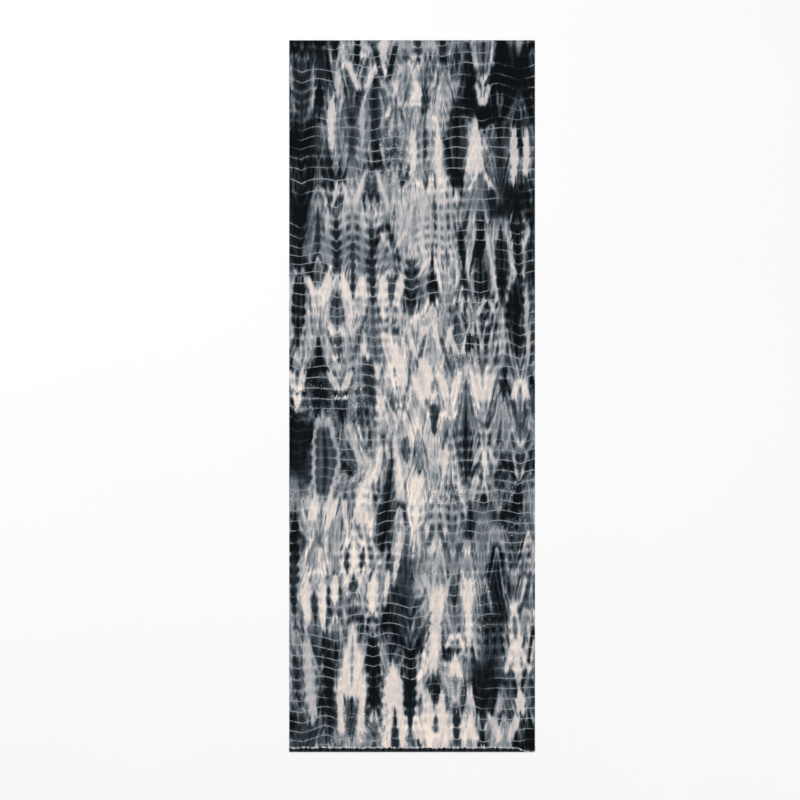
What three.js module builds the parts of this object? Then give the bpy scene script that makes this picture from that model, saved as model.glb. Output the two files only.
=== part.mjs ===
// A shibori dyed cotton cloth, pressed and laid out flat, face up.
// It is one woven piece: a long rectangle whose foot is turned under twice as a narrow hem.
// X runs across the cloth, Y runs along it towards its head, and Z is up from the surface it lies on.
// The origin is under the middle of the cloth.
import * as THREE from "three";

// Driving dimensions, in millimetres.
const WIDTH = 368;
const LENGTH = 1066;
const CLOTH = 1.2; // loft of the single cloth, with the crimp that binding leaves in it
const HEM_DEPTH = 7; // how far the turned foot reaches up the cloth
const HEM_LOFT = 2.3; // loft of the hem's three layers
const HEM_SLOPE = 5; // the cloth comes down from the hem over this length
const EDGE_LOFT = 0.8; // an edge is pressed thinner than the cloth
const EDGE_ROUND = 3; // and comes up to full loft over this width

// Steps of the surface between its edges.
const STEPS_ACROSS = 30;
const STEPS_ALONG = 58;

// The soft ridges that the pleats of the dyeing leave after pressing, in millimetres.
// at: place across the cloth at mid length. lean: how much further right the ridge is at its head.
// head, foot: where along the cloth it starts and ends. rise: its height. half: its half width.
const RIDGES = [
  { at: -160, lean: 5, head: 505, foot: 130, rise: 0.5, half: 21 },
  { at: -130, lean: -7, head: 150, foot: -480, rise: 0.6, half: 20 },
  { at: -92, lean: 6, head: -130, foot: -510, rise: 0.8, half: 22 },
  { at: -60, lean: 4, head: 510, foot: -20, rise: 0.9, half: 21 },
  { at: -32, lean: -12, head: -10, foot: -505, rise: 0.7, half: 20 },
  { at: 24, lean: 6, head: 500, foot: 60, rise: 0.5, half: 24 },
  { at: 66, lean: -5, head: 490, foot: 120, rise: 0.8, half: 20 },
  { at: 77, lean: 7, head: 90, foot: -500, rise: 0.8, half: 22 },
  { at: 103, lean: -4, head: 380, foot: 10, rise: 0.6, half: 19 },
  { at: 132, lean: 8, head: 20, foot: -430, rise: 0.6, half: 21 },
  { at: 158, lean: 4, head: 470, foot: -120, rise: 0.5, half: 20 },
];
const RIDGE_FADE = 70; // a ridge dies out over this length at each end

const FOOT = -LENGTH / 2;
const HEAD = LENGTH / 2;
const SIDE = WIDTH / 2;

// Rises smoothly from 0 to 1 as t goes from 0 to 1.
function ease(t) {
  const s = THREE.MathUtils.clamp(t, 0, 1);
  return s * s * (3 - 2 * s);
}

// The height that the ridges add at a place on the cloth.
function ridgeHeight(x, y) {
  return RIDGES.reduce((height, ridge) => {
    const middle = ridge.at + (ridge.lean * y) / LENGTH;
    const across = ease(1 - Math.abs(x - middle) / ridge.half);
    const along =
      ease((ridge.head - y) / RIDGE_FADE) * ease((y - ridge.foot) / RIDGE_FADE);
    return height + ridge.rise * across * along;
  }, 0);
}

// The height of the cloth's face above the surface under it.
function faceHeight(x, y) {
  const fromFoot = y - FOOT;
  const hem = 1 - ease((fromFoot - HEM_DEPTH) / HEM_SLOPE);
  const full = CLOTH + (HEM_LOFT - CLOTH) * hem + ridgeHeight(x, y);
  const inwards = Math.min(SIDE - Math.abs(x), HEAD - y, fromFoot);
  return EDGE_LOFT + (full - EDGE_LOFT) * ease(inwards / EDGE_ROUND);
}

// Places from low to high in even steps, with extra places close to each end.
function stations(low, high, steps, nearLow, nearHigh) {
  const start = low + nearLow[nearLow.length - 1];
  const end = high - nearHigh[nearHigh.length - 1];
  const even = Array.from(
    { length: steps - 1 },
    (_, i) => start + ((end - start) * (i + 1)) / steps,
  );
  return [
    low,
    ...nearLow.map((d) => low + d),
    ...even,
    ...nearHigh.map((d) => high - d).reverse(),
    high,
  ];
}

// The cloth as one closed surface: a face that follows faceHeight, walls round it, and a flat underside.
function clothGeometry() {
  const rim = [EDGE_ROUND / 2, EDGE_ROUND];
  const foot = [...rim, HEM_DEPTH, HEM_DEPTH + HEM_SLOPE / 2, HEM_DEPTH + HEM_SLOPE];
  const xs = stations(-SIDE, SIDE, STEPS_ACROSS, rim, rim);
  const ys = stations(FOOT, HEAD, STEPS_ALONG, foot, rim);
  const lastX = xs.length - 1;
  const lastY = ys.length - 1;
  const points = [];
  const triangles = [];
  const point = (x, y, z) => points.push(x, y, z) / 3 - 1;
  const quad = (a, b, c, d) => triangles.push(a, b, c, a, c, d);

  // The face.
  const face = ys.map((y) => xs.map((x) => point(x, y, faceHeight(x, y))));
  for (let j = 0; j < lastY; j++)
    for (let i = 0; i < lastX; i++)
      quad(face[j][i], face[j][i + 1], face[j + 1][i + 1], face[j + 1][i]);

  // The rim of the underside, anticlockwise from the foot's left corner, and the face's rim above it.
  const around = [
    ...xs.slice(0, lastX).map((_, i) => [i, 0]),
    ...ys.slice(0, lastY).map((_, j) => [lastX, j]),
    ...xs.slice(0, lastX).map((_, i) => [lastX - i, lastY]),
    ...ys.slice(0, lastY).map((_, j) => [0, lastY - j]),
  ];
  const under = new Map(around.map(([i, j]) => [`${i},${j}`, point(xs[i], ys[j], 0)]));
  const below = (i, j) => under.get(`${i},${j}`);

  // The walls.
  around.forEach(([i, j], n) => {
    const [k, l] = around[(n + 1) % around.length];
    quad(below(i, j), below(k, l), face[l][k], face[j][i]);
  });

  // The underside: strips from side to side, and a fan at the foot and at the head.
  for (let j = 1; j < lastY - 1; j++)
    quad(below(0, j), below(0, j + 1), below(lastX, j + 1), below(lastX, j));
  for (let i = 0; i < lastX; i++) {
    triangles.push(below(i, 0), below(0, 1), below(i + 1, 0));
    triangles.push(below(i, lastY), below(i + 1, lastY), below(0, lastY - 1));
  }
  triangles.push(below(lastX, 0), below(0, 1), below(lastX, 1));
  triangles.push(below(lastX, lastY), below(lastX, lastY - 1), below(0, lastY - 1));

  const geometry = new THREE.BufferGeometry();
  geometry.setAttribute("position", new THREE.Float32BufferAttribute(points, 3));
  geometry.setIndex(triangles);
  geometry.computeVertexNormals();
  return geometry;
}

// Cotton dyed from near black through slate grey, with undyed cream marks: the mean of the face.
const dyedCotton = new THREE.MeshStandardMaterial({
  color: "#76797c",
  roughness: 0.9,
  metalness: 0,
});

const cloth = new THREE.Mesh(clothGeometry(), dyedCotton);
cloth.name = "cloth";

const shiboriCloth = new THREE.Group();
shiboriCloth.add(cloth);

export default shiboriCloth;
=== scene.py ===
"""A shibori dyed cotton cloth, laid out flat and seen from straight above.

The cloth was pleated along its length and bound with thread in rows, and then dyed. So its marks mirror
each other across the old folds, and each row of thread has left a thin pale line. The dye is worked out
at the cloth's points from tables, and the material draws its finest parts.
"""

from collections import namedtuple

import bpy
import numpy as np
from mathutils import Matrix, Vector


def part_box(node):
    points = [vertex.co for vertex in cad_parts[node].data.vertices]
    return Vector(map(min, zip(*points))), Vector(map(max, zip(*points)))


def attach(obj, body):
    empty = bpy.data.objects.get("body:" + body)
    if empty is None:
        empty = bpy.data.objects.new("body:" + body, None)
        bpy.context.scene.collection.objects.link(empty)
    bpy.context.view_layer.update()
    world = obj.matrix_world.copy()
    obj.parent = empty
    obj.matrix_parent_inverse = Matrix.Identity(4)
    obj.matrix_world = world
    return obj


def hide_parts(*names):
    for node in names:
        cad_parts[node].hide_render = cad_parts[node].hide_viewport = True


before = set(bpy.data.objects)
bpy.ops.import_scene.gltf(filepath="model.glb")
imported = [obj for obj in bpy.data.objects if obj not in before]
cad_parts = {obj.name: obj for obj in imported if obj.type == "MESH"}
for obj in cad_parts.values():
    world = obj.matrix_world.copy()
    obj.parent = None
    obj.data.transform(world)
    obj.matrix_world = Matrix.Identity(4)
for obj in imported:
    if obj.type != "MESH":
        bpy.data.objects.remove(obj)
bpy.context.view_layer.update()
low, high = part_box("cloth")

MM = 0.001

# The cloth, in millimetres.
WIDTH = (high.x - low.x) / MM
LENGTH = (high.y - low.y) / MM
THICK = 0.6
HEM_DEPTH = 6.5
HEM_LAYERS = 3
HEM_SLOPE = 3
EDGE_ROUND = 1.2
# How thick its very edge is, as a share.
EDGE_THICK = 0.55

# The low ridges of the old pleats, as they lie after pressing: where each lies across the cloth, how far it
# leans, from where to where along the cloth it runs, how high it rises and half its width.
Ridge = namedtuple("Ridge", "at lean head foot rise half")
RIDGES = (
    (-160, 5, 505, 130, 0.5, 21),
    (-130, -7, 150, -480, 0.6, 20),
    (-92, 6, -130, -510, 0.8, 22),
    (-60, 4, 510, -20, 0.9, 21),
    (-32, -12, -10, -505, 0.7, 20),
    (24, 6, 500, 60, 0.5, 24),
    (66, -5, 490, 120, 0.8, 20),
    (77, 7, 90, -500, 0.8, 22),
    (103, -4, 380, 10, 0.6, 19),
    (132, 8, 20, -430, 0.6, 21),
    (158, 4, 470, -120, 0.5, 20),
)
RIDGE_FADE = 70
# How high the waves of the pleats and the puckers between the threads stand, and how near its edges the
# cloth comes down flat.
PLEAT_RISE = 0.16
PUCKER = 0.10
FLAT_EDGE = 12

# The grid of the face, and how many of its steps make one step of the underside.
STEPS_ACROSS = 261
STEPS_ALONG = 312
UNDERSIDE = 3

# The camera. The photograph is 800 pixels wide, and this much cloth fills one of them.
PIXELS = 800
MM_PER_PIXEL = 1.498
LENS = 100
SENSOR = 36
CLOTH_RIGHT_OF_MIDDLE = 12.1
CLOTH_ABOVE_MIDDLE = 3.9

# The dye. All lengths in this part are in millimetres from the middle of the cloth, the head being up. How
# far apart the rows of thread lie, and how wide every pleat is taken to be for the noise.
PITCH = 15.5
PLEAT = 26

# How far across each old fold lies, at these heights.
FOLD_HEIGHTS = (500, 300, 100, -100, -190, -300, -500)
FOLDS = (
    (-190, -192, -196, -200, -202, -204, -190),
    (-165, -166, -171, -174, -176, -178, -163),
    (-138, -141, -142, -129, -137, -147, -132),
    (-116, -114, -112, -101, -112, -116, -111),
    (-92, -90, -88, -68, -87, -88, -92),
    (-59, -62, -58, -40, -50, -60, -56),
    (-23, -26, -33, -11, -22, -36, -29),
    (9, 1, -2, 12, 5, -3, -3),
    (27, 30, 31, 34, 36, 38, 26),
    (46, 48, 55, 58, 60, 63, 67),
    (66, 66, 81, 80, 82, 84, 87),
    (107, 102, 103, 109, 107, 105, 105),
    (131, 132, 136, 132, 128, 124, 139),
    (160, 156, 162, 162, 157, 151, 164),
    (185, 182, 187, 189, 184, 178, 192),
    (210, 207, 210, 212, 208, 202, 215),
    (236, 232, 234, 236, 232, 226, 238),
)

# Where the bundle took more dye or less. Its middle, its reach, how dark it is from 0 to 1, and how surely.
Patch = namedtuple("Patch", "x y across along dye weight")
PATCHES = (
    (-155, 510, 50, 38, 1.00, 1.0),
    (-165, 468, 30, 36, 0.82, 0.8),
    (-122, 490, 18, 50, 0.96, 0.9),
    (-60, 512, 62, 28, 0.34, 0.9),
    (12, 515, 40, 26, 0.34, 0.9),
    (75, 505, 36, 30, 0.62, 0.9),
    (158, 485, 48, 60, 0.95, 1.0),
    (-166, 362, 37, 60, 0.95, 1.0),
    (-90, 400, 42, 60, 0.60, 0.9),
    (12, 410, 34, 70, 0.24, 0.9),
    (82, 445, 24, 40, 0.90, 0.9),
    (122, 415, 34, 46, 0.82, 0.9),
    (170, 400, 26, 60, 0.85, 0.9),
    (62, 508, 22, 24, 0.42, 0.9),
    (108, 518, 18, 24, 0.66, 0.8),
    (66, 345, 36, 30, 0.54, 0.8),
    (20, 345, 28, 40, 0.08, 1.0),
    (-122, 345, 26, 34, 0.90, 0.9),
    (-20, 345, 30, 28, 0.56, 0.7),
    (-62, 342, 50, 20, 0.80, 0.8),
    (112, 335, 18, 26, 0.64, 0.7),
    (160, 342, 34, 30, 0.96, 0.9),
    (-66, 302, 90, 26, 0.50, 0.8),
    (-174, 260, 20, 64, 0.90, 1.0),
    (-162, 202, 24, 24, 0.88, 0.8),
    (-146, 262, 16, 44, 0.66, 0.8),
    (-90, 270, 60, 18, 0.30, 0.8),
    (-100, 226, 62, 27, 0.49, 0.9),
    (25, 260, 40, 60, 0.30, 0.9),
    (155, 275, 42, 45, 1.00, 1.0),
    (126, 205, 50, 50, 0.70, 0.8),
    (174, 215, 20, 56, 1.00, 1.0),
    (0, 185, 18, 45, 0.56, 0.7),
    (42, 190, 28, 34, 0.24, 0.8),
    (-100, 150, 80, 30, 0.28, 0.9),
    (58, 140, 44, 36, 0.42, 0.8),
    (20, 118, 26, 24, 0.14, 0.8),
    (150, 140, 45, 50, 0.76, 0.9),
    (-155, 85, 34, 30, 0.64, 0.8),
    (-112, 112, 24, 40, 0.08, 0.8),
    (82, 110, 30, 36, 0.66, 0.8),
    (-65, 80, 34, 50, 0.44, 0.8),
    (16, 70, 44, 46, 0.19, 0.9),
    (28, 32, 18, 22, 0.74, 0.8),
    (-20, 46, 18, 34, 0.04, 0.9),
    (92, 80, 30, 34, 0.44, 0.8),
    (70, -38, 18, 40, 0.20, 0.8),
    (165, 65, 26, 50, 0.66, 0.8),
    (-150, 12, 55, 34, 0.82, 0.9),
    (-72, 0, 22, 80, 0.52, 0.8),
    (-95, -50, 30, 34, 0.48, 0.7),
    (100, 15, 48, 34, 0.12, 0.9),
    (20, -30, 50, 54, 0.13, 0.9),
    (-22, -54, 18, 56, 0.48, 0.8),
    (-168, -85, 26, 70, 0.88, 1.0),
    (-108, -100, 20, 70, 0.56, 0.8),
    (148, -50, 42, 66, 0.50, 0.9),
    (-67, -184, 25, 40, 0.06, 0.9),
    (-130, -205, 44, 36, 0.50, 0.9),
    (-38, -185, 16, 45, 0.85, 0.8),
    (-25, -238, 14, 26, 0.88, 0.9),
    (0, -165, 10, 60, 0.22, 0.9),
    (30, -185, 20, 40, 0.16, 0.8),
    (75, -190, 52, 30, 0.52, 0.9),
    (60, -115, 46, 32, 0.24, 0.8),
    (148, -150, 26, 60, 0.90, 0.9),
    (170, -130, 16, 40, 0.78, 0.7),
    (172, -205, 22, 40, 0.80, 0.8),
    (176, -214, 12, 16, 0.40, 0.8),
    (-125, -270, 42, 55, 0.19, 0.8),
    (-112, -335, 13, 18, 0.30, 0.8),
    (-75, -235, 34, 40, 0.28, 0.8),
    (-14, -320, 24, 80, 0.86, 0.9),
    (58, -250, 50, 16, 0.34, 0.9),
    (65, -330, 45, 60, 0.50, 0.8),
    (4, -330, 12, 50, 0.74, 0.8),
    (122, -325, 21, 92, 0.86, 1.0),
    (178, -330, 16, 60, 0.42, 0.8),
    (-68, -345, 30, 26, 0.72, 0.8),
    (-155, -400, 30, 60, 0.60, 0.8),
    (-110, -384, 9, 34, 0.60, 0.8),
    (-67, -378, 9, 44, 0.80, 0.9),
    (-118, -465, 22, 80, 0.90, 0.9),
    (118, -430, 34, 54, 0.88, 0.9),
    (24, -404, 20, 34, 0.06, 1.0),
    (26, -496, 66, 36, 0.02, 1.0),
    (94, -500, 42, 26, 0.08, 1.0),
    (168, -440, 24, 36, 0.78, 0.8),
    (-50, -470, 40, 60, 0.42, 0.7),
    (-162, -505, 34, 30, 0.88, 0.8),
    (170, -500, 26, 36, 0.92, 0.9),
)

# Where the dye broke up into small cells: the middle of the place and its reach.
CELL_PATCHES = (
    (-80, 245, 60, 32),
    (-65, -235, 48, 40),
    (35, 235, 34, 34),
    (-70, -330, 40, 26),
    (50, -175, 36, 24),
    (-35, 120, 24, 50),
    (-74, -150, 32, 16),
)

# Where the dye is full of small pale specks: the middle of the place and its reach.
SPECK_PATCHES = (
    (-120, 0, 60, 34),
    (-70, -115, 22, 34),
    (85, 70, 26, 30),
    (100, 130, 20, 24),
    (150, -165, 16, 60),
    (60, -150, 60, 20),
    (110, -330, 14, 60),
    (-85, -490, 60, 30),
    (60, -440, 34, 34),
    (-30, 360, 26, 50),
)

# Where the dye is even, with few flames in it: the middle of the place and its reach.
CALM_PATCHES = (
    (-10, 525, 90, 14),
    (158, 490, 34, 44),
    (-165, 400, 24, 60),
    (-165, 260, 26, 60),
    (-95, 240, 60, 44),
    (22, 265, 40, 42),
    (125, 295, 60, 26),
    (-115, 0, 50, 28),
    (-170, -90, 18, 70),
    (75, -190, 60, 34),
    (-15, -300, 18, 60),
    (115, -350, 24, 80),
    (112, -430, 40, 44),
    (-162, -506, 24, 24),
    (62, -250, 46, 12),
    (40, -498, 44, 26),
)

# Where the thread was slack and left hardly a line: the middle of the place and its reach.
SLACK_PATCHES = (
    (-160, -70, 44, 56),
    (60, -20, 130, 70),
    (20, 440, 50, 60),
)

# Where a place's cover ends, as the square of its share of the reach. It fades over the last 1 of that.
COVER_END = 1.4
SPECK_COVER_END = 1.5
# A patch's cover in its middle, where over 1 is full, and how much it falls with the same square.
PATCH_FULL = 1.3
PATCH_FADE = 0.8
# How far a patch's edge is drawn out: along the cloth as the pleats lean, in spikes, and across.
TONGUE_LEAN = 60
TONGUE_SPIKES = 22
EDGE_WANDER = 6
# How far the ends of marks are drawn out.
MARK_TONGUES = 9

# The rows of thread. How far they sway, how high they arch between the folds, counted in rows, and where
# they arch higher: by how much, the middle of the place and its reach.
ROW_SWAY = 5
ROW_ARCH = 0.30
HIGH_ARCH = 0.45
HIGH_ARCH_PLACE = (-110, 225, 70, 35)

# How much paler the dye is on a row of thread, and how far a row drags the edges of flames and of marks.
ROW_PALER = 0.035
FLAME_BARB = 2.5
MARK_BARB = 2.4

# How the streaks stray from straight: how far, how long and how wide each bend is, and its noise's seed.
BENDS = (
    (16, 80, 120, 16),
    (6, 34, 70, 17),
)

# The flames: how high the noise is at their edge, and the least slope that it is taken to have. Then how
# dark their hearts are, how pale their outlines, and how the dye round them swings and is paler.
FLAME_LEVEL = 0.1
LEAST_SLOPE = 0.012
FLAME_HEART = 0.34
FLAME_OUTLINE = 0.26
FLAME_SWING = 0.22
FLAME_PALER = 0.05

# Each size of flame: how much it leans, how wide and how long it is, its noise's seed, how fast it changes
# across the cloth, how wide its outline is, and how strong it is.
FLAME_SIZES = (
    (0.24, 12, 90, 122, 1, 2.4, 0.66),
    (0.22, 6, 48, 128, 2, 1.7, 0.62),
)
# The finest streaks: their lean, width, length, seed, speed across the cloth and octaves, and how strong.
HAIR = (0.20, 3.5, 50, 126, 2, 2)
HAIR_STRENGTH = 0.10

# A mark paler than this fades out through half-dyed cloth: how dark that is, how strong and how wide.
PALE = 0.3
HALF_DYED = 0.55
CREEP = 0.6
CREEP_REACH = 6

# How wide each shape of mark is midway between two rows of thread, and how much a row pinches it.
PINCHES = {"lens": (1.04, 0.10), "tree": (1.2, 0.35), "stem": (1.12, 0.24), "bar": (1.12, 0.24)}
# The powers that shape a mark's outline, and how many times as long as its blunt end it is.
GROWTH = 0.8
STEM_NARROWS = 0.6
BAR_NARROWS = 0.4
BLUNT_END = 6
# How many times as long as its widening head and as its blunt foot a tree is.
TREE_HEAD = 3.2
TREE_FOOT = 8
# How many times as long as its fading end a mark or a stroke is.
MARK_ENDS = 7
STROKE_ENDS = 5

# A mark's edge: how ragged it is, and how soft as a share of the mark's half width, between two limits.
MARK_RAGGED = 2.2
PALE_SOFT = 0.35
DARK_SOFT = 0.7
SOFT_LIMITS = (2.4, 9)

# A mark's inside: how fully it covers what lies under it, how much paler a dark one is at its edge, and how
# strong the stripes are in one that is this wide and this dark.
MARK_COVER = 0.92
EDGE_PALER = 0.16
STRIPES = 0.10
STRIPED_HALF = 9
STRIPED_DYE = 0.4

# A mark's pale outline: how far out it lies and how wide it is, how strong, and how dark.
OUTLINE_REACH = 3.4
OUTLINE_COVER = 0.7
OUTLINE_DYE = 0.05

# A stroke: how ragged and how soft its edge is, and how fully it covers what lies under it.
STROKE_RAGGED = 1.2
STROKE_SOFT = 3.0
STROKE_COVER = 0.9

# How much of the streaks is hidden where the dye is calm, and by strokes and marks, pale ones and dark ones.
CALM_HIDES = 0.6
PALE_STROKE_HIDES = 0.7
DARK_STROKE_HIDES = 0.4
PALE_MARK_HIDES = 0.8
DARK_MARK_HIDES = 0.45
# How much of a thread's line is hidden where the thread was slack.
SLACK_HIDES = 0.75

# The filled marks that a fold left, mirrored across it. Which fold, from where to where along it, half the
# width, how dark it is from 0 to 1, its shape, and how strong its pale outline is.
Mark = namedtuple("Mark", "fold top foot half dye shape edge")
MARKS = (
    (1, 530, 412, 15, 0.80, "lens", 0.4),
    (2, 545, 405, 7, 1.00, "bar", 0.0),
    (3, 550, 500, 6, 1.00, "bar", 0.0),
    (4.3, 550, 490, 5, 1.00, "bar", 0.0),
    (5.45, 540, 484, 9, 0.12, "drop", 0.0),
    (6.45, 502, 436, 13, 0.52, "lens", 1.0),
    (2.8, 456, 358, 7, 0.12, "lens", 0.0),
    (3.2, 500, 438, 4, 0.20, "lens", 0.0),
    (4, 458, 330, 26, 0.58, "lens", 0.4),
    (6, 447, 320, 18, 0.50, "lens", 0.9),
    (5.12, 482, 342, 8, 0.90, "lens", 0.0),
    (4.5, 452, 365, 4, 0.28, "lens", 0.0),
    (7, 545, 495, 5, 0.85, "bar", 0.0),
    (9, 545, 494, 6, 0.95, "bar", 0.0),
    (10.5, 545, 494, 6, 0.98, "bar", 0.0),
    (7.6, 500, 458, 12, 0.66, "lens", 0.6),
    (7.6, 468, 420, 6, 0.85, "bar", 0.3),
    (7.6, 432, 327, 15, 0.43, "lens", 0.9),
    (7.6, 410, 350, 3, 0.78, "lens", 0.0),
    (6.9, 405, 316, 5, 0.05, "lens", 0.0),
    (8.6, 405, 316, 6, 0.05, "lens", 0.0),
    (11, 545, 455, 16, 0.72, "drop", 1.0),
    (11, 478, 430, 5, 0.08, "drop", 0.0),
    (10.38, 510, 412, 19, 1.00, "wedge", 0.2),
    (10.02, 450, 292, 17, 0.98, "lens", 0.0),
    (10.75, 425, 322, 15, 0.08, "wedge", 0.0),
    (12, 430, 330, 8, 0.90, "stem", 0.0),
    (12.83, 407, 312, 6, 0.10, "lens", 0.0),
    (13.56, 407, 315, 6, 0.10, "lens", 0.0),
    (2, 278, 205, 4, 0.90, "stem", 0.0),
    (3, 266, 168, 6, 0.92, "stem", 0.0),
    (4, 244, 140, 4, 0.84, "stem", 0.0),
    (5, 268, 100, 5, 0.98, "stem", 0.0),
    (5, 212, 184, 7, 0.90, "lens", 0.0),
    (8.2, 300, 246, 3, 0.70, "bar", 0.0),
    (9.2, 286, 240, 3, 0.62, "bar", 0.0),
    (7.1, 288, 222, 6, 0.50, "lens", 0.3),
    (5, 150, 45, 13, 0.66, "bar", 0.3),
    (7, 216, 132, 9, 0.98, "bar", 0.0),
    (8, 228, 190, 3, 0.90, "lens", 0.0),
    (8, 192, 130, 8, 0.97, "lens", 0.8),
    (10.1, 255, 185, 5, 0.94, "lens", 0.6),
    (10.1, 192, 128, 5, 0.90, "stem", 0.3),
    (11, 276, 130, 12, 0.98, "wedge", 0.2),
    (12, 264, 126, 10, 0.96, "lens", 0.7),
    (13, 274, 232, 12, 0.78, "lens", 0.8),
    (13, 236, 178, 7, 0.95, "lens", 1.0),
    (12.8, 182, 52, 16, 0.97, "lens", 0.2),
    (13.4, 172, 60, 3, 0.25, "lens", 0.0),
    (1, 182, 92, 10, 0.98, "bar", 0.2),
    (3, 152, 94, 12, 0.72, "lens", 0.7),
    (3, 96, 48, 5, 0.90, "stem", 0.0),
    (2, 98, 50, 7, 0.92, "wedge", 0.2),
    (6, 188, 132, 8, 0.88, "drop", 0.6),
    (4.4, 82, 20, 12, 0.06, "wedge", 0.2),
    (6.2, 98, 10, 14, 0.06, "wedge", 0.2),
    (7.5, 60, -5, 12, 0.06, "lens", 0.2),
    (10.2, 98, 60, 7, 0.95, "lens", 0.2),
    (2, 24, -8, 9, 1.00, "lens", 0.0),
    (4, 14, -8, 7, 1.00, "lens", 0.0),
    (1, 8, -30, 8, 0.04, "drop", 0.0),
    (2, -14, -184, 22, 0.12, "lens", 0.0),
    (2, -30, -166, 17, 0.76, "lens", 0.0),
    (2, -48, -140, 4, 0.88, "lens", 0.0),
    (4.3, 70, -110, 14, 0.62, "lens", 0.6),
    (4.6, 62, -20, 9, 0.86, "bar", 0.3),
    (5.35, -56, -248, 18, 0.72, "wedge", 0.8),
    (5.35, -78, -245, 11, 1.00, "wedge", 0.0),
    (4.2, -130, -195, 15, 0.08, "wedge", 0.0),
    (6.1, -58, -104, 8, 0.80, "lens", 0.0),
    (6, 42, 26, 3, 0.58, "lens", 0.0),
    (6, 20, 4, 3, 0.58, "lens", 0.0),
    (6, -4, -22, 3, 0.62, "lens", 0.0),
    (8, -6, -64, 6, 0.86, "lens", 0.4),
    (10, 38, -66, 21, 0.68, "wedge", 0.8),
    (10, -20, -68, 14, 0.76, "wedge", 0.0),
    (10, -56, -137, 15, 0.74, "drop", 0.4),
    (10, -15, -137, 3, 1.00, "lens", 0.0),
    (8.6, -70, -118, 8, 0.10, "lens", 0.2),
    (11, -72, -124, 5, 0.10, "lens", 0.0),
    (12.1, 52, -10, 6, 0.92, "lens", 0.0),
    (13, 10, -60, 10, 0.62, "lens", 0.6),
    (7, -108, -150, 9, 0.06, "lens", 0.0),
    (10.2, -146, -218, 10, 0.95, "wedge", 0.0),
    (7, -150, -250, 5, 0.06, "drop", 0.0),
    (1, -155, -345, 7, 0.95, "bar", 0.0),
    (2, -176, -232, 12, 0.50, "wedge", 0.2),
    (4, -198, -262, 3, 0.04, "lens", 0.0),
    (3.6, -226, -272, 5, 0.85, "lens", 0.3),
    (4.4, -226, -272, 5, 0.85, "lens", 0.3),
    (4, -260, -302, 7, 0.80, "lens", 0.2),
    (4, -300, -350, 12, 0.72, "wedge", 0.0),
    (1.65, -270, -352, 6, 0.04, "lens", 0.0),
    (2.35, -266, -358, 6, 0.04, "lens", 0.0),
    (3, -258, -318, 6, 0.06, "lens", 0.0),
    (2.7, -280, -330, 4, 0.75, "lens", 0.0),
    (2, -288, -338, 5, 0.72, "lens", 0.0),
    (5, -262, -334, 8, 0.04, "lens", 0.0),
    (5.8, -258, -318, 6, 0.05, "drop", 0.0),
    (6.2, -190, -292, 4, 0.10, "lens", 0.0),
    (2.5, -345, -530, 8, 1.00, "bar", 0.0),
    (4, -332, -462, 26, 0.03, "wedge", 0.0),
    (4, -350, -440, 3, 0.45, "lens", 0.0),
    (4, -444, -516, 9, 0.80, "lens", 0.0),
    (5, -350, -480, 10, 1.00, "bar", 0.0),
    (6.15, -388, -545, 17, 0.02, "tree", 0.0),
    (6.15, -458, -540, 8, 0.90, "wedge", 0.0),
    (7, -362, -505, 10, 1.00, "bar", 0.0),
    (8, -266, -425, 9, 0.03, "bar", 0.0),
    (9, -270, -354, 11, 0.68, "lens", 0.2),
    (10, -264, -330, 9, 0.03, "drop", 0.0),
    (10, -320, -380, 6, 0.05, "bar", 0.0),
    (9, -380, -428, 14, 0.03, "wedge", 0.3),
    (8.4, -425, -510, 11, 0.06, "wedge", 0.0),
    (13, -296, -425, 9, 0.03, "lens", 0.0),
    (13, -318, -374, 4, 0.60, "lens", 0.0),
    (13.05, -430, -475, 8, 0.05, "lens", 0.0),
    (9, -466, -535, 6, 0.90, "bar", 0.2),
    (11, -484, -535, 9, 0.88, "wedge", 0.4),
    (10.2, -470, -520, 9, 0.06, "wedge", 0.0),
    (2.9, -500, -528, 9, 0.55, "wedge", 0.6),
    (1.5, -350, -500, 10, 0.24, "lens", 0.0),
    (0.85, -380, -474, 7, 0.86, "lens", 0.0),
    (8.2, -476, -508, 5, 0.66, "lens", 0.0),
    (7.5, -514, -528, 5, 0.80, "lens", 0.0),
)

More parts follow.
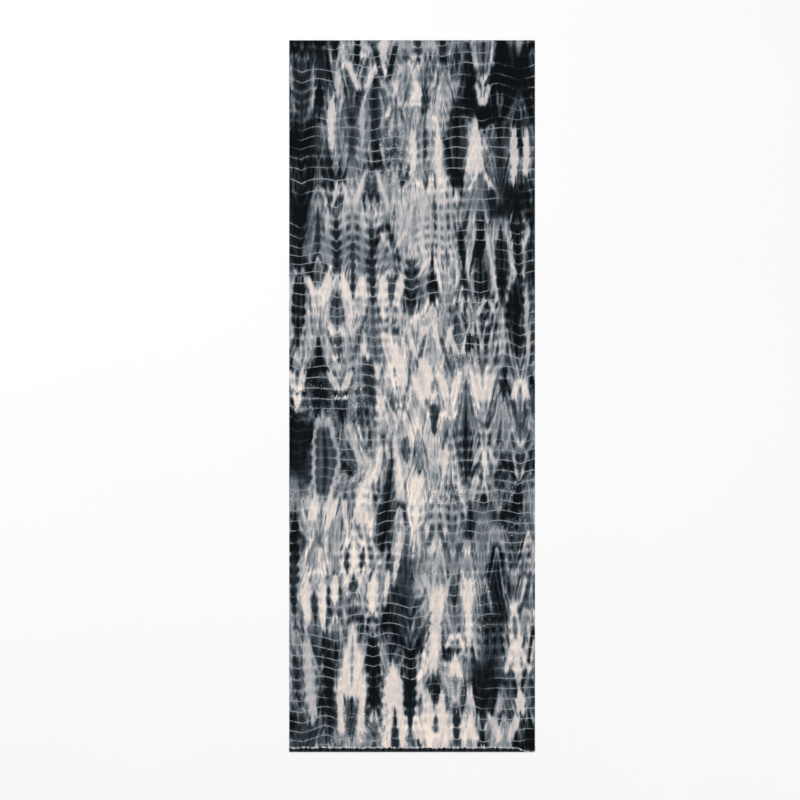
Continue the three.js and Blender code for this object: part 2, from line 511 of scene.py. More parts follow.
# The slanting strokes beside a fold, mirrored across it. Which fold, from where to where along it, how far
# from the fold at each end, half the width, and how dark it is.
Stroke = namedtuple("Stroke", "fold top foot first last half dye")
STROKES = (
    (4.55, 506, 453, 28, 2, 5, 0.04),
    (5.5, 534, 466, 19, 2, 4, 0.92),
    (6.45, 506, 442, 3, 18, 4, 0.08),
    (11, 470, 432, 11, 1, 3, 0.06),
    (5, 345, 285, 2, 12, 2, 0.85),
    (5, 345, 275, 6, 28, 3, 0.16),
    (3.3, 325, 280, 1, 14, 3, 0.16),
    (11, 338, 304, 1, 22, 2, 0.04),
    (9.3, 330, 285, 2, 14, 3, 0.14),
    (5.6, 268, 190, 0, 26, 4, 0.88),
    (6, 250, 215, 20, 2, 3, 0.18),
    (2, 184, 146, 18, 2, 5, 0.05),
    (3, 182, 132, 1, 25, 6, 0.02),
    (4, 186, 142, 18, 3, 5, 0.05),
    (6, 188, 130, 18, 4, 6, 0.06),
    (5, 186, 140, 16, 11, 4, 0.10),
    (11, 270, 122, 4, 30, 2, 0.20),
    (14, 268, 122, 3, 50, 2, 0.20),
    (11.3, 148, 112, 1, 18, 3, 0.22),
    (4.5, 110, 50, 2, 18, 5, 0.70),
    (5.6, 105, 15, 3, 22, 6, 0.04),
    (8.6, 112, 58, 15, 2, 4, 0.05),
    (7.3, 110, 50, 16, 3, 4, 0.05),
    (8, 95, 40, 10, 24, 3, 0.66),
    (9.6, 105, 55, 18, 2, 4, 0.10),
    (3, 42, 2, 18, 3, 5, 0.08),
    (3, 0, -8, 12, 2, 4, 0.02),
    (1, 42, 4, 10, 4, 5, 0.10),
    (5, 8, -52, 1, 12, 2, 0.12),
    (5, 8, -48, 3, 28, 2, 0.10),
    (5, -70, -130, 4, 14, 5, 0.05),
    (5, -75, -170, 10, 34, 6, 0.04),
    (4, -30, -128, 24, 6, 3, 0.26),
    (7.4, 36, -10, 14, 3, 4, 0.04),
    (9, 36, -10, 16, 4, 6, 0.05),
    (11, 40, -14, 14, 4, 6, 0.06),
    (13, 32, -12, 1, 14, 4, 0.02),
    (11, -68, -108, 2, 17, 3, 0.12),
    (13, -68, -100, 1, 14, 2, 0.30),
    (2, -120, -195, 2, 17, 6, 0.04),
    (3, -150, -205, 4, 16, 4, 0.06),
    (4, -200, -238, 1, 18, 4, 0.06),
    (4, -235, -297, 19, 2, 5, 0.03),
    (4, -255, -310, 30, 18, 3, 0.85),
    (2, -280, -345, 20, 8, 4, 0.04),
    (8, -190, -232, 16, 2, 3, 0.12),
    (8, -190, -228, 4, 14, 3, 0.70),
    (8, -262, -320, 22, 6, 3, 0.20),
    (9, -352, -384, 1, 15, 3, 0.02),
    (10, -285, -330, 9, 1, 4, 0.05),
    (11, -262, -330, 2, 16, 2, 0.40),
    (13, -372, -420, 6, 20, 3, 0.10),
    (7.5, -425, -500, 2, 20, 6, 0.06),
    (4, -436, -516, 18, 13, 5, 0.06),
    (12, -470, -520, 22, 6, 5, 0.10),
)

# The material. Each step of dye, and the colour it gives as the eye sees it, from 0 to 255.
DYE_COLOURS = (
    (0.00, (248, 236, 224)),
    (0.08, (219, 210, 205)),
    (0.18, (192, 189, 189)),
    (0.30, (161, 164, 168)),
    (0.42, (128, 134, 139)),
    (0.54, (96, 104, 111)),
    (0.66, (66, 75, 82)),
    (0.78, (41, 48, 54)),
    (0.90, (17, 22, 25)),
    (1.00, (4, 6, 8)),
)
# The undyed cotton's tint, from the foot to the head.
TINTS = (
    (0.00, (1.00, 0.975, 0.965)),
    (0.45, (1.00, 0.995, 0.985)),
    (1.00, (0.97, 0.965, 0.985)),
)
# The fine streaks, the pale lines, and the dark lines in pale dye: how wide and how long each kind is, where
# in the noise it starts, and what it adds to the dye.
BANDS = ((9.0, 90, 0.0, 0.08), (4.5, 50, 7.0, 0.07))
PALE_LINES = ((8.0, 110, 21.0, -0.09), (6.0, 70, 33.0, -0.07))
DARK_LINES = ((7.0, 70, 51.0, 0.17), (4.5, 38, 64.0, 0.12))
# Hairs and flecks: how wide and how long, how fast they change across the cloth, and how strong they are.
GRAINS = ((1.7, 20, 1, 0.03), (2.4, 4.5, 2, 0.05))
# How much paler a thread's line and a speck are than the dye round them, and how dark the small cells are.
THREAD_PALER = 0.56
LINE_WIDTH = 0.8
SPECK_PALER = 0.42
CELL_DARK = 0.07
# The foot. The pale line's height, how far that wanders, how far it drops at the right and over which
# stretch, and how dark it is. Then how dark the strip below it is, and how uneven.
FOOT_LINE = 6.6
FOOT_LINE_WANDER = 1.7
FOOT_LINE_DROP = 6.0
FOOT_LINE_DROP_FROM = 150.0
FOOT_LINE_DROP_TO = 176.0
FOOT_LINE_DYE = 0.08
STRIP_DYE = 0.86
STRIP_UNEVEN = 0.22
# The weave: how far apart its yarns lie, and how high they stand.
WEAVE_PITCH = 0.55
WEAVE_HEIGHT = 0.08

# The floor: its width in metres, and how many millimetres it lies below the cloth.
FLOOR_SIZE = 12
FLOOR_GAP = 0.1
# The lights: where each is and how wide, in metres, and its power in watts.
LIGHTS = (
    ("key", (-1.6, 1.4, 2.6), 1.6, 38),
    ("fill", (1.9, -0.9, 2.4), 2.0, 18),
)
SURROUNDING_LIGHT = 0.65


def ease(t):
    """Rises smoothly from 0 to 1 as t goes from 0 to 1."""
    t = np.clip(t, 0, 1)
    return t * t * (3 - 2 * t)


def lattice_noise(a, b, c, seed):
    """Smooth noise from -1 to 1, with one random value at each whole a, b and c."""
    side = 32
    lattice = np.random.default_rng(seed).uniform(-1, 1, (side, side, side))
    cells = [np.floor(value).astype(int) for value in (a, b, c)]
    parts = [ease(value - cell) for value, cell in zip((a, b, c), cells)]
    total = 0
    for corner in np.ndindex(2, 2, 2):
        index = tuple((cell + step) % side for cell, step in zip(cells, corner))
        weight = 1
        for part, step in zip(parts, corner):
            weight = weight * (part if step else 1 - part)
        total = total + lattice[index] * weight
    return total


def clouds(a, b, c, seed, octaves=2, rough=0.5):
    """Noise of several sizes, each half as large as the last and rough times as strong."""
    octave_shift = 7.3
    return sum(
        rough**n * lattice_noise(a * 2**n + octave_shift * n, b * 2**n, c * 2**n, seed + n)
        for n in range(octaves)
    )


def fold_lines(ys):
    """How far across every fold lies at these heights: a row for each fold."""
    falling = [-height for height in FOLD_HEIGHTS]
    return np.array([np.interp(-ys, falling, row) for row in FOLDS])


class Grid:
    """Places on the cloth, and where each lies in the old pleats."""

    def __init__(self, xs, ys):
        self.x, self.y = np.meshgrid(xs, ys)
        self.lines = fold_lines(ys)
        numbers = np.arange(len(FOLDS))
        self.phase = np.array([np.interp(xs, line, numbers) for line in self.lines.T])
        # 0 on an even fold and 1 on an odd one.
        self.near = np.abs(self.phase - 2 * np.round(self.phase / 2))
        self.folded = PLEAT * self.near
        self.none = np.zeros_like(self.x)
        # Noise that is mirrored across the folds changes slowly with this, so no two pleats are alike.
        self.drift = self.x / 110
        sway = ROW_SWAY * clouds(self.x / 60, self.y / 90, self.none, 12, 3)
        arch = ROW_ARCH + ROW_ARCH * lattice_noise(self.x / 90, self.y / 90, self.none, 13)
        high_x, high_y, across, along = HIGH_ARCH_PLACE
        away = ((self.x - high_x) / across) ** 2 + ((self.y - high_y) / along) ** 2
        arch += HIGH_ARCH * np.exp(-away)
        # A whole number on each row of thread.
        self.row = (self.y + sway) / PITCH + arch * self.near**1.6
        # 1 on a row of thread and 0 midway to the next.
        self.bound = 0.5 + 0.5 * np.cos(2 * np.pi * self.row)
        # How far the streaks stray from straight along the cloth. They swing towards a fold and back.
        self.bend = sum(
            far * lattice_noise(self.none, self.y / long, self.x / wide, seed)
            for far, long, wide, seed in BENDS
        )

    def middle(self, fold):
        """How far across this fold lies, at each height. It may be a part way to the next fold."""
        before = min(int(fold), len(FOLDS) - 2)
        part = fold - before
        line = self.lines[before] * (1 - part) + self.lines[before + 1] * part
        return line[:, None]

    def streaks(self, y, slope, wide, long, seed, faster=1, octaves=2):
        """Noise drawn out along the cloth, which leans towards the even folds by slope."""
        return clouds((self.folded + slope * y) / wide, y / long, faster * self.drift, seed, octaves)


def mark_reach(mark, t, bound):
    """How far a filled mark reaches from its fold, part way t along it."""
    between, pinch = PINCHES.get(mark.shape, (1, 0))
    half = mark.half * (between - pinch * bound)
    if mark.shape == "lens":
        return half * np.sin(np.pi * t) ** GROWTH
    if mark.shape == "wedge":
        return half * t**GROWTH * ease((1 - t) * BLUNT_END)
    if mark.shape == "drop":
        return half * (1 - t) ** GROWTH * ease(t * BLUNT_END)
    if mark.shape == "tree":
        return half * np.minimum(1, TREE_HEAD * t) * ease((1 - t) * TREE_FOOT)
    # A stem narrows more towards its ends than a bar.
    return half * (4 * t * (1 - t)) ** (STEM_NARROWS if mark.shape == "stem" else BAR_NARROWS)


def covered(grid, places, end=COVER_END):
    """How much of each point these places cover, from 0 to 1."""
    cover = grid.none
    for x, y, across, along in places:
        away = ((grid.x - x) / across) ** 2 + ((grid.y - y) / along) ** 2
        cover = np.maximum(cover, ease(end - away))
    return cover


def flames(grid, value, wide):
    """Turns smooth noise into flames: dark hearts with pale outlines of an even width."""
    steps = (LENGTH / STEPS_ALONG, WIDTH / STEPS_ACROSS)
    slope = np.hypot(*np.gradient(value, *steps))
    barbs = FLAME_BARB * (grid.row % 1 - 0.5)
    # How many outline widths each point lies inside a flame's edge.
    inside = ((value - FLAME_LEVEL) / np.maximum(slope, LEAST_SLOPE) + barbs) / wide
    outline = np.exp(-(inside**2)) * (0.8 + 0.4 * grid.bound)
    heart = ease((inside - 0.6) / 4)
    outside = ease((-inside - 0.6) / 4)
    swing = FLAME_SWING * lattice_noise(grid.x / 50, grid.y / 80, grid.none, 41)
    return FLAME_HEART * heart - FLAME_OUTLINE * outline + (swing - FLAME_PALER) * outside


def patch_dye(grid, lean):
    """The dye that the patches give, with their edges drawn out into tongues."""
    spike = grid.streaks(grid.y, 0, 5, 160, 15)
    shift_x = EDGE_WANDER * clouds(grid.folded / 16, grid.y / 40, grid.drift, 14, 3)
    shift_y = TONGUE_LEAN * (2 * lean - 1) * (grid.near - 0.5) + TONGUE_SPIKES * spike
    tone = np.full_like(grid.x, 0.5)
    for patch in map(Patch._make, PATCHES):
        across = (grid.x + shift_x - patch.x) / patch.across
        along = (grid.y + shift_y - patch.y) / patch.along
        cover = ease(PATCH_FULL - PATCH_FADE * (across**2 + along**2))
        tone += patch.weight * cover * (patch.dye - tone)
    return tone


def flame_dye(grid, lean):
    """What the flames of every size add to the dye."""
    bent = grid.y + 14 * clouds(grid.folded / 24, grid.y / 60, grid.drift, 11, 3)

    def leaning(slope, wide, long, seed, faster, octaves):
        rising = grid.streaks(bent, slope, wide, long, seed, faster, octaves)
        falling = grid.streaks(bent, -slope, wide, long, seed + 50, faster, octaves)
        return rising * lean + falling * (1 - lean)

    total = grid.none
    for slope, wide, long, seed, faster, outline, strength in FLAME_SIZES:
        value = leaning(slope, wide, long, seed, faster, 1)
        total = total + strength * flames(grid, value, outline)
    return total + HAIR_STRENGTH * leaning(*HAIR)


def bleed(dye, away, ends):
    """Lets the dye fade towards a pale mark, where it crept in only partly."""
    glow = CREEP * np.exp(-((np.maximum(away, 0) / CREEP_REACH) ** 2)) * ends
    return dye + glow * (np.minimum(dye, HALF_DYED) - dye)


def along_fold(grid, piece, tongues, sharp):
    """How far along a mark or stroke each point lies, from 0 to 1, and how it fades towards its ends."""
    t = (piece.top - grid.y - tongues) / (piece.top - piece.foot)
    return np.clip(t, 0, 1), ease(t * sharp) * ease((1 - t) * sharp)


def lay_mark(grid, mark, dye, ragged, tongues):
    """Fills a mark and gives it its pale outline. A dark one is darkest along its fold."""
    across = np.abs(grid.x - grid.middle(mark.fold))
    t, ends = along_fold(grid, mark, tongues, MARK_ENDS)
    reach = mark_reach(mark, t, grid.bound)
    away = across - reach + MARK_RAGGED * ragged - MARK_BARB * (grid.row % 1 - 0.5)
    pale = mark.dye < PALE
    if pale:
        dye = bleed(dye, away, ends)
    soft = np.clip((PALE_SOFT if pale else DARK_SOFT) * mark.half, *SOFT_LIMITS)
    cover = ease(0.5 - away / soft) * ends
    part = across / np.maximum(reach, 1)
    target = mark.dye
    if mark.half > STRIPED_HALF and mark.dye > STRIPED_DYE:
        target = target + STRIPES * np.cos(2.4 * np.pi * part)
    if not pale:
        target = target - EDGE_PALER * np.minimum(part, 1) ** 2
    rim = np.exp(-(((away - OUTLINE_REACH) / OUTLINE_REACH) ** 2)) * ends * mark.edge
    outline = np.clip(OUTLINE_COVER * rim * (0.8 + 0.5 * ragged), 0, 1)
    outlined = dye + outline * (OUTLINE_DYE - dye)
    return outlined + MARK_COVER * cover * (target - outlined), cover


def lay_stroke(grid, stroke, dye, ragged, tongues):
    """Draws a slanting stroke on both sides of its fold, thinner towards its ends."""
    across = np.abs(grid.x - grid.middle(stroke.fold))
    t, ends = along_fold(grid, stroke, 0.5 * tongues, STROKE_ENDS)
    place = stroke.first + (stroke.last - stroke.first) * t
    away = np.abs(across - place) - stroke.half * (0.5 + 0.5 * ends) + STROKE_RAGGED * ragged
    if stroke.dye < PALE:
        dye = bleed(dye, away, ends)
    cover = ease(0.6 - away / STROKE_SOFT) * ends
    return dye + STROKE_COVER * cover * (stroke.dye - dye), cover


def dye_field(grid):
    """How dark the dye is, mostly from 0 to 1, and how clearly streaks show in it."""
    ragged = clouds(grid.folded / 4, grid.y / 22, 3 * grid.drift, 31)
    tongues = MARK_TONGUES * clouds(grid.folded / 3, grid.y / 60, 2 * grid.drift, 32)
    # 1 where streaks and flames lean one way, and 0 where they lean the other.
    lean = ease(0.5 + 1.5 * lattice_noise(grid.x / 70, grid.y / 80, grid.none, 24))
    dye = patch_dye(grid, lean)
    streaks = 1 - CALM_HIDES * covered(grid, CALM_PATCHES)
    for stroke in map(Stroke._make, STROKES):
        dye, cover = lay_stroke(grid, stroke, dye, ragged, tongues)
        streaks *= 1 - (PALE_STROKE_HIDES if stroke.dye < PALE else DARK_STROKE_HIDES) * cover
    for mark in map(Mark._make, MARKS):
        dye, cover = lay_mark(grid, mark, dye, ragged, tongues)
        streaks *= 1 - (PALE_MARK_HIDES if mark.dye < PALE else DARK_MARK_HIDES) * cover
    return dye + streaks * flame_dye(grid, lean) - ROW_PALER * grid.bound**3, streaks


def binding_field(grid):
    """How clearly the rows of thread show, from 0 to 1."""
    tight = ease(0.6 + 0.9 * clouds(grid.x / 50, grid.y / 40, grid.none, 51))
    return tight * (1 - SLACK_HIDES * covered(grid, SLACK_PATCHES))


def cell_field(grid):
    """How strongly the dye breaks up into cells between the rows of thread, from 0 to 1."""
    cells = ease(0.1 + 0.8 * clouds(grid.x / 60, grid.y / 60, grid.none, 61))
    return np.maximum(cells, covered(grid, CELL_PATCHES))


def from_edge(grid):
    """How far each point lies from the cloth's nearest edge."""
    return np.minimum(LENGTH / 2 - np.abs(grid.y), WIDTH / 2 - np.abs(grid.x))


def lift_field(grid):
    """How high the cloth's underside is lifted off the floor."""
    x, y = grid.x, grid.y
    lift = PLEAT_RISE * (0.5 + 0.5 * np.cos(np.pi * grid.near))
    lift += PUCKER * (1 - grid.bound) * (1 - grid.near)
    for ridge in map(Ridge._make, RIDGES):
        across = ease(1 - np.abs(x - ridge.at - ridge.lean * y / LENGTH) / ridge.half)
        along = ease((ridge.head - y) / RIDGE_FADE) * ease((y - ridge.foot) / RIDGE_FADE)
        lift += ridge.rise * across * along
    return lift * ease(from_edge(grid) / FLAT_EDGE)


def thickness_field(grid):
    """How thick the cloth is: one layer, three in the hem, and thinner at its very edges."""
    from_foot = grid.y + LENGTH / 2
    hem = 1 - ease((from_foot - HEM_DEPTH) / HEM_SLOPE)
    full = THICK * (1 + (HEM_LAYERS - 1) * hem)
    return full * (EDGE_THICK + (1 - EDGE_THICK) * ease(from_edge(grid) / EDGE_ROUND))


def rim_places(across, along, step):
    """The places round a grid's edge, anticlockwise from its first corner, each step apart."""
    yield from ((i, 0) for i in range(0, across, step))
    yield from ((across, j) for j in range(0, along, step))
    yield from ((i, along) for i in range(across, 0, -step))
    yield from ((0, j) for j in range(along, 0, -step))


def sheet_faces(step):
    """The faces of the closed sheet: its top, its underside in larger steps, and its rim."""
    across, along = STEPS_ACROSS, STEPS_ALONG

    def top(i, j):
        return j * (across + 1) + i

    under_row = across // step + 1
    first_under = (across + 1) * (along + 1)

    def under(i, j):
        return first_under + (j // step) * under_row + i // step

    faces = []
    for j in range(along):
        for i in range(across):
            faces.append((top(i, j), top(i + 1, j), top(i + 1, j + 1), top(i, j + 1)))
    for j in range(0, along, step):
        for i in range(0, across, step):
            right, up = i + step, j + step
            faces.append((under(i, j), under(i, up), under(right, up), under(right, j)))
    # The rim. Each of its faces takes one step of the underside and all the face's steps above it.
    coarse = list(rim_places(across, along, step))
    fine = list(rim_places(across, along, 1))
    for n, place in enumerate(coarse):
        after = coarse[(n + 1) % len(coarse)]
        edge = [top(*fine[(n * step + m) % len(fine)]) for m in range(step, -1, -1)]
        faces.append((under(*place), under(*after), *edge))
    return faces


def cloth_mesh():
    """The cloth as one thin closed sheet, with the dye at its points."""
    xs = np.linspace(-WIDTH / 2, WIDTH / 2, STEPS_ACROSS + 1)
    ys = np.linspace(-LENGTH / 2, LENGTH / 2, STEPS_ALONG + 1)
    grid = Grid(xs, ys)
    dye, streaks = dye_field(grid)
    lift = lift_field(grid)
    fields = {
        "dye": dye,
        "streaks": streaks,
        "fold": grid.phase,
        "bend": grid.bend,
        "row": grid.row,
        "binding": binding_field(grid),
        "cells": cell_field(grid),
        "specks": covered(grid, SPECK_PATCHES, SPECK_COVER_END),
    }

    def both(values):
        coarse = values[::UNDERSIDE, ::UNDERSIDE]
        return np.concatenate([values.ravel(), coarse.ravel()])

    upper = (lift + thickness_field(grid)).ravel()
    heights = np.concatenate([upper, lift[::UNDERSIDE, ::UNDERSIDE].ravel()])
    places = np.stack([both(grid.x), both(grid.y), heights], 1) * MM
    mesh = bpy.data.meshes.new("shibori_cloth")
    mesh.from_pydata(places.tolist(), [], sheet_faces(UNDERSIDE))
    for name, values in fields.items():
        layer = mesh.attributes.new(name, "FLOAT", "POINT")
        layer.data.foreach_set("value", both(values).astype(np.float32))
    mesh.polygons.foreach_set("use_smooth", [True] * len(mesh.polygons))
    lay_out(mesh, places)
    mesh.update()
    return mesh


def lay_out(mesh, places):
    """Lays the cloth's two halves side by side on the map. The underside shares the face's places."""
    loops = np.empty(len(mesh.loops), int)
    mesh.loops.foreach_get("vertex_index", loops)
    starts = np.empty(len(mesh.polygons), int)
    mesh.polygons.foreach_get("loop_start", starts)
    totals = np.empty(len(mesh.polygons), int)
    mesh.polygons.foreach_get("loop_total", totals)
    x, y = places[loops, 0] / MM, places[loops, 1] / MM
    middles = np.add.reduceat(y, starts) / totals
    upper = np.repeat(middles > 0, totals)
    margin = 0.004
    across = margin + (x / WIDTH + 0.5) * (0.5 - 2 * margin) + 0.5 * upper
    along = margin + (y / LENGTH * 2 + np.where(upper, 0, 1)) * (1 - 2 * margin)
    layer = mesh.uv_layers.new(name="OFBake")
    layer.data.foreach_set("uv", np.stack([across, along], 1).ravel())


def linear(channel):
    """The strength of light that a colour channel from 0 to 255 stands for."""
    part = channel / 255
    return part / 12.92 if part <= 0.04045 else ((part + 0.055) / 1.055) ** 2.4


class Nodes:
    """Makes a material's nodes and links them."""

    def __init__(self, material):
        material.use_nodes = True
        self.tree = material.node_tree
        self.shader = self.tree.nodes["Principled BSDF"]

    def put(self, socket, value):
        if isinstance(value, bpy.types.NodeSocket):
            self.tree.links.new(value, socket)
        else:
            socket.default_value = value

    def math(self, operation, *values):
        node = self.tree.nodes.new("ShaderNodeMath")
        node.operation = operation
        for socket, value in zip(node.inputs, values):
            self.put(socket, value)
        return node.outputs[0]

    def add(self, a, b):
        return self.math("ADD", a, b)

    def minus(self, a, b):
        return self.math("SUBTRACT", a, b)

    def times(self, a, b):
        return self.math("MULTIPLY", a, b)

    def step(self, value, start, end, low=0.0, high=1.0):
        """Goes smoothly from low to high as value goes from start to end."""
        node = self.tree.nodes.new("ShaderNodeMapRange")
        node.interpolation_type = "SMOOTHSTEP"
        for name, number in zip(("Value", "From Min", "From Max"), (value, start, end)):
            self.put(node.inputs[name], number)
        self.put(node.inputs["To Min"], low)
        self.put(node.inputs["To Max"], high)
        return node.outputs["Result"]

    def attribute(self, name):
        node = self.tree.nodes.new("ShaderNodeAttribute")
        node.attribute_name = name
        return node.outputs["Fac"]

    def place(self):
        """The place on the object, in millimetres, as three numbers."""
        coordinates = self.tree.nodes.new("ShaderNodeTexCoord")
        scaled = self.tree.nodes.new("ShaderNodeVectorMath")
        scaled.operation = "SCALE"
        self.put(scaled.inputs[0], coordinates.outputs["Object"])
        self.put(scaled.inputs["Scale"], 1 / MM)
        parts = self.tree.nodes.new("ShaderNodeSeparateXYZ")
        self.put(parts.inputs[0], scaled.outputs[0])
        return parts.outputs

    def vector(self, *parts):
        node = self.tree.nodes.new("ShaderNodeCombineXYZ")
        for socket, value in zip(node.inputs, parts):
            self.put(socket, value)
        return node.outputs[0]

    def noise(self, vector, detail=1.0, rough=0.5):
        """Noise about 0, from about -1 to 1."""
        node = self.tree.nodes.new("ShaderNodeTexNoise")
        self.put(node.inputs["Vector"], vector)
        self.put(node.inputs["Scale"], 1.0)
        self.put(node.inputs["Detail"], detail)
        self.put(node.inputs["Roughness"], rough)
        return self.math("MULTIPLY_ADD", node.outputs["Fac"], 4.0, -2.0)

    def ramp(self, value, stops):
        """The colour between these stops that the value picks."""
        node = self.tree.nodes.new("ShaderNodeValToRGB")
        elements = node.color_ramp.elements
        while len(elements) < len(stops):
            elements.new(0.5)
        for element, (place, colour) in zip(elements, stops):
            element.position = place
            element.color = (*colour, 1)
        self.put(node.inputs["Fac"], value)
        return node.outputs["Color"]

    def tinted(self, colour, tint, amount):
        """The colour with this much of the tint over it."""
        node = self.tree.nodes.new("ShaderNodeMix")
        node.data_type = "RGBA"
        node.blend_type = "MULTIPLY"
        self.put(node.inputs["Factor"], amount)
        self.put(node.inputs["A"], colour)
        self.put(node.inputs["B"], tint)
        return node.outputs["Result"]

    def bump(self, height, distance, strength):
        node = self.tree.nodes.new("ShaderNodeBump")
        self.put(node.inputs["Height"], height)
        self.put(node.inputs["Distance"], distance)
        self.put(node.inputs["Strength"], strength)
        return node.outputs["Normal"]


def drawn_noise(nodes, place, wide, long, start=0.0, detail=1.0, rough=0.5):
    """Noise this wide and this long, from a place given as across, along and through the noise."""
    across, along, through = place
    scaled = nodes.vector(
        nodes.times(across, 1 / wide), nodes.times(along, 1 / long), nodes.add(through, start)
    )
    return nodes.noise(scaled, detail, rough)


def thin_lines(nodes, place, kinds, width, total):
    """Adds lines of these kinds to the total, where their noise lies within the width of 0."""
    for wide, long, start, strength in kinds:
        wander = nodes.math("ABSOLUTE", drawn_noise(nodes, place, wide, long, start))
        line = nodes.step(wander, width, 0.02)
        total = nodes.math("MULTIPLY_ADD", line, strength, total)
    return total


def long_streaks(nodes, place):
    """Bands of dye drawn out along the cloth, and the thin pale lines between them."""
    total = 0.0
    for wide, long, start, strength in BANDS:
        band = nodes.times(drawn_noise(nodes, place, wide, long, start), strength)
        total = nodes.add(total, band)
    total = thin_lines(nodes, place, PALE_LINES, 0.30, total)
    return nodes.add(total, 0.03)


def dark_lines(nodes, place, dye):
    """Thin dark lines drawn out along the cloth, only where it is pale."""
    lines = thin_lines(nodes, place, DARK_LINES, 0.22, 0.0)
    return nodes.times(lines, nodes.step(dye, 0.50, 0.20))


def pale_specks(nodes, x, y):
    """Small pale specks and curls, only where the specks field has them."""
    wide, high = 2.6, 3.0
    specks = nodes.step(drawn_noise(nodes, (x, y, 0.0), wide, high), 0.45, 0.95)
    return nodes.times(nodes.times(specks, nodes.attribute("specks")), -SPECK_PALER)


def small_cells(nodes, near, row):
    """Dark cells between the rows of thread, two across each side of a pleat."""
    columns = nodes.math("COSINE", nodes.times(near, 4 * np.pi))
    rows = nodes.math("COSINE", nodes.times(row, 2 * np.pi))
    cells = nodes.times(nodes.minus(1.0, columns), nodes.minus(1.0, rows))
    strength = nodes.times(nodes.attribute("cells"), CELL_DARK)
    return nodes.times(nodes.minus(cells, 1.1), strength)


def thread_lines(nodes, dye, x, row):
    """How clearly the binding thread's lines show. They break off here and there, and in pale dye."""
    number = nodes.math("ROUND", row)
    gap = nodes.math("ABSOLUTE", nodes.minus(row, number))
    wander = nodes.noise(nodes.vector(nodes.times(x, 1 / 7), number, 0.0), 2, 0.6)
    width = nodes.math("MULTIPLY_ADD", wander, 0.35, LINE_WIDTH)
    line = nodes.step(nodes.times(gap, PITCH), nodes.times(width, 1.7), nodes.times(width, 0.3))
    broken = nodes.step(wander, -0.9, -0.1, 0.25, 0.95)
    line = nodes.times(nodes.times(line, broken), nodes.attribute("binding"))
    return nodes.times(line, nodes.step(dye, 0.22, 0.88, 0.05, 1.0))


def foot_dye(nodes, dye, x, y):
    """The foot: a ragged pale line where the hem was caught up, and dark cloth below it."""
    height = nodes.add(y, LENGTH / 2)
    wander = nodes.noise(nodes.vector(nodes.times(x, 1 / 14), 0.0, 0.0), 3, 0.6)
    bars = nodes.noise(nodes.vector(nodes.times(x, 1 / 5), 5.0, 0.0), 2)
    drop = nodes.step(x, FOOT_LINE_DROP_FROM, FOOT_LINE_DROP_TO, 0.0, FOOT_LINE_DROP)
    middle = nodes.minus(nodes.math("MULTIPLY_ADD", wander, FOOT_LINE_WANDER, FOOT_LINE), drop)
    above = nodes.minus(height, middle)
    strip = nodes.math("MULTIPLY_ADD", bars, STRIP_UNEVEN, STRIP_DYE)
    below = nodes.step(above, 0.3, -0.8)
    dye = nodes.add(dye, nodes.times(nodes.minus(strip, dye), below))
    line = nodes.step(nodes.math("ABSOLUTE", above), 1.8, 0.4)
    line = nodes.times(line, nodes.step(bars, 0.5, -0.4, 0.15, 1.0))
    return nodes.add(dye, nodes.times(nodes.minus(FOOT_LINE_DYE, dye), line))


def fine_dye(nodes, x, y):
    """The dye at the cloth's points with all that the material draws over it."""
    near = nodes.math("PINGPONG", nodes.attribute("fold"), 1.0)
    folded = nodes.times(near, float(PLEAT))
    row = nodes.attribute("row")
    dye = nodes.attribute("dye")
    streaks = nodes.attribute("streaks")

    # Streaks, hairs and flecks, mirrored across the folds.
    drift = nodes.times(x, 1 / 50)
    place = (nodes.add(folded, nodes.attribute("bend")), y, drift)
    streaked = nodes.times(long_streaks(nodes, place), streaks)
    lines = nodes.times(dark_lines(nodes, place, dye), streaks)
    dye = nodes.add(nodes.add(dye, streaked), lines)
    for wide, long, faster, strength in GRAINS:
        through = nodes.times(drift, faster)
        grain = drawn_noise(nodes, (folded, y, through), wide, long, detail=2, rough=0.6)
        dye = nodes.add(dye, nodes.times(grain, strength))
    dye = nodes.add(dye, small_cells(nodes, near, row))
    dye = nodes.add(dye, pale_specks(nodes, x, y))
    dye = nodes.math("MINIMUM", dye, 1.0)

    line = thread_lines(nodes, dye, x, row)
    dye = nodes.times(dye, nodes.math("MULTIPLY_ADD", line, -THREAD_PALER, 1.0))
    dye = nodes.step(dye, -0.14, 1.14)
    return foot_dye(nodes, dye, x, y)


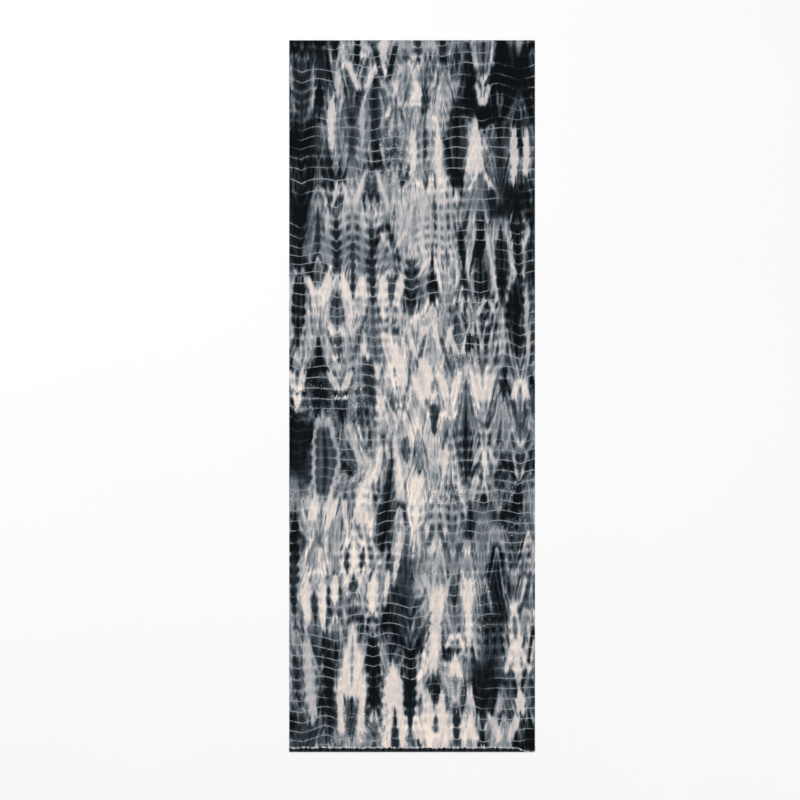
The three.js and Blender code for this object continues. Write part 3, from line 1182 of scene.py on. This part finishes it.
def dyed_cotton():
    """Dyed cotton: the colours of its dye, and its plain weave of thick and thin yarns."""
    material = bpy.data.materials.new("dyed_cotton_cloth")
    nodes = Nodes(material)
    x, y, _ = nodes.place()
    dye = fine_dye(nodes, x, y)
    colour = nodes.ramp(
        dye, [(at, [linear(channel) for channel in shade]) for at, shade in DYE_COLOURS]
    )
    tint = nodes.ramp(nodes.math("MULTIPLY_ADD", y, 1 / LENGTH, 0.5), TINTS)
    undyed = nodes.step(dye, 0.45, 0.05)
    nodes.put(nodes.shader.inputs["Base Color"], nodes.tinted(colour, tint, undyed))

    warp = nodes.math("SINE", nodes.times(x, 2 * np.pi / WEAVE_PITCH))
    weft = nodes.math("SINE", nodes.times(y, 2 * np.pi / WEAVE_PITCH))
    yarn_wide, yarn_long = 0.7, 25
    slub = nodes.add(
        drawn_noise(nodes, (x, y, 0.0), yarn_wide, yarn_long),
        drawn_noise(nodes, (x, y, 3.0), yarn_long, yarn_wide),
    )
    height = nodes.add(nodes.times(nodes.times(warp, weft), 0.5), nodes.times(slub, 0.35))
    nodes.put(nodes.shader.inputs["Normal"], nodes.bump(height, WEAVE_HEIGHT * MM, 0.5))
    nodes.put(nodes.shader.inputs["Roughness"], nodes.step(slub, -1.5, 1.5, 0.86, 0.96))
    nodes.shader.inputs["Specular IOR Level"].default_value = 0.06
    nodes.shader.inputs["Sheen Weight"].default_value = 0.01
    nodes.shader.inputs["Sheen Roughness"].default_value = 0.6
    return material


cloth = bpy.data.objects.new("shibori_cloth", cloth_mesh())
bpy.context.collection.objects.link(cloth)
cloth.data.materials.append(dyed_cotton())
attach(cloth, "root")
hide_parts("cloth")


def plain_floor():
    """A pale floor just under the cloth."""
    bpy.ops.mesh.primitive_plane_add(size=FLOOR_SIZE, location=(0, 0, -FLOOR_GAP * MM))
    floor = bpy.context.object
    floor.name = "floor"
    material = bpy.data.materials.new("floor_paper")
    nodes = Nodes(material)
    x, y, _ = nodes.place()
    mottle = drawn_noise(nodes, (x, y, 0.0), 300, 300)
    shade = nodes.step(mottle, -2.0, 2.0, 0.955, 0.965)
    nodes.put(nodes.shader.inputs["Base Color"], nodes.vector(shade, shade, shade))
    nodes.shader.inputs["Roughness"].default_value = 1.0
    nodes.shader.inputs["Specular IOR Level"].default_value = 0.0
    floor.data.materials.append(material)


def soft_light(name, place, size, power):
    """A square light that faces the middle of the cloth."""
    light = bpy.data.lights.new(name, "AREA")
    light.shape = "SQUARE"
    light.size = size
    light.energy = power
    lamp = bpy.data.objects.new(name, light)
    lamp.location = place
    towards_cloth = cloth.location - lamp.location
    lamp.rotation_euler = towards_cloth.to_track_quat("-Z", "Y").to_euler()
    bpy.context.collection.objects.link(lamp)


def studio():
    """Even light from all round, and two large soft lights."""
    world = bpy.data.worlds.new("studio")
    bpy.context.scene.world = world
    world.use_nodes = True
    background = world.node_tree.nodes["Background"]
    background.inputs["Color"].default_value = (1, 1, 1, 1)
    background.inputs["Strength"].default_value = SURROUNDING_LIGHT
    for name, place, size, power in LIGHTS:
        soft_light(name, place, size, power)
    bpy.context.scene.view_settings.view_transform = "Standard"
    bpy.context.scene.view_settings.look = "None"


def overhead_camera():
    """Looks straight down, with the cloth placed in the frame as it is in the photograph."""
    across = PIXELS * MM_PER_PIXEL * MM
    data = bpy.data.cameras.new("camera")
    data.lens = LENS
    data.sensor_width = SENSOR
    data.dof.use_dof = False
    camera = bpy.data.objects.new("camera", data)
    camera.location = (
        -CLOTH_RIGHT_OF_MIDDLE * MM_PER_PIXEL * MM,
        -CLOTH_ABOVE_MIDDLE * MM_PER_PIXEL * MM,
        THICK * MM + across * LENS / SENSOR,
    )
    bpy.context.collection.objects.link(camera)
    bpy.context.scene.camera = camera


plain_floor()
studio()
overhead_camera()
